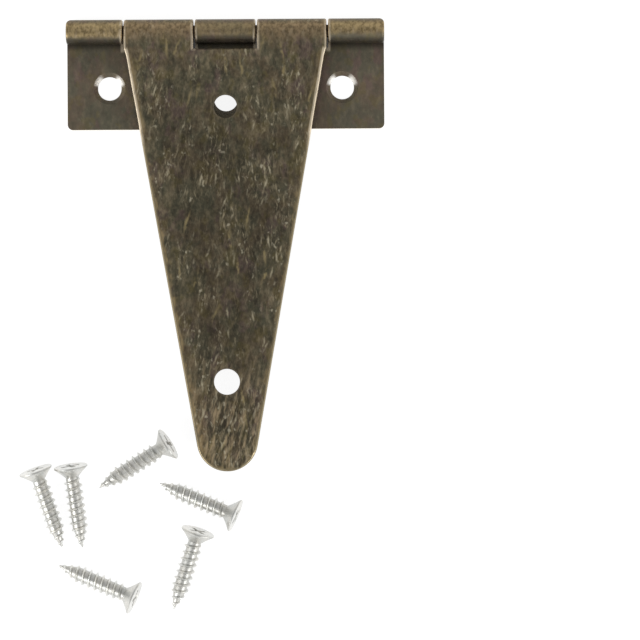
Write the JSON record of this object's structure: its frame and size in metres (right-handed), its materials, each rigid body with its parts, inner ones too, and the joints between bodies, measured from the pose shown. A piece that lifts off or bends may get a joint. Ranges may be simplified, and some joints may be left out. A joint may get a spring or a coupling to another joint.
{
  "type": "t hinge",
  "caption": "Surface-fixed T hinge of rolled sheet steel: a rectangular jamb leaf and a long tapering strap leaf turn on a pin, with loose countersunk wood screws.",
  "frame": {"origin": "on the flush side of the jamb leaf, straight under the middle of the pin's axis, which lies 2.35 mm above it", "axes": "+X along the pin; +Z out of the jamb leaf on its barrel side; with the strap folded over, both leaves reach towards -Y"},
  "size_m": [0.0698, 0.1129, 0.0064],
  "materials": {
    "antique_brass": "antique brass plating on steel sheet, darkened, brushed and worn bright at the edges",
    "dark_steel": "steel wire under the same darkened plating",
    "zinc_plate": "bright zinc plating on steel"
  },
  "bodies": {
    "jamb": {"jamb_leaf": "antique_brass", "hinge_pin": "dark_steel", "screw_1": "zinc_plate", "screw_2": "zinc_plate", "screw_3": "zinc_plate", "screw_4": "zinc_plate", "screw_5": "zinc_plate", "screw_6": "zinc_plate"},
    "strap": {"strap_leaf": "antique_brass"}
  },
  "joints": [
    {"name": "strap_hinge", "type": "hinge", "parent": "jamb", "child": "strap", "pos_m": [0, 0, 0.00235], "axis": [-1, 0, 0], "range_deg": [-2.4, 180]}
  ]
}
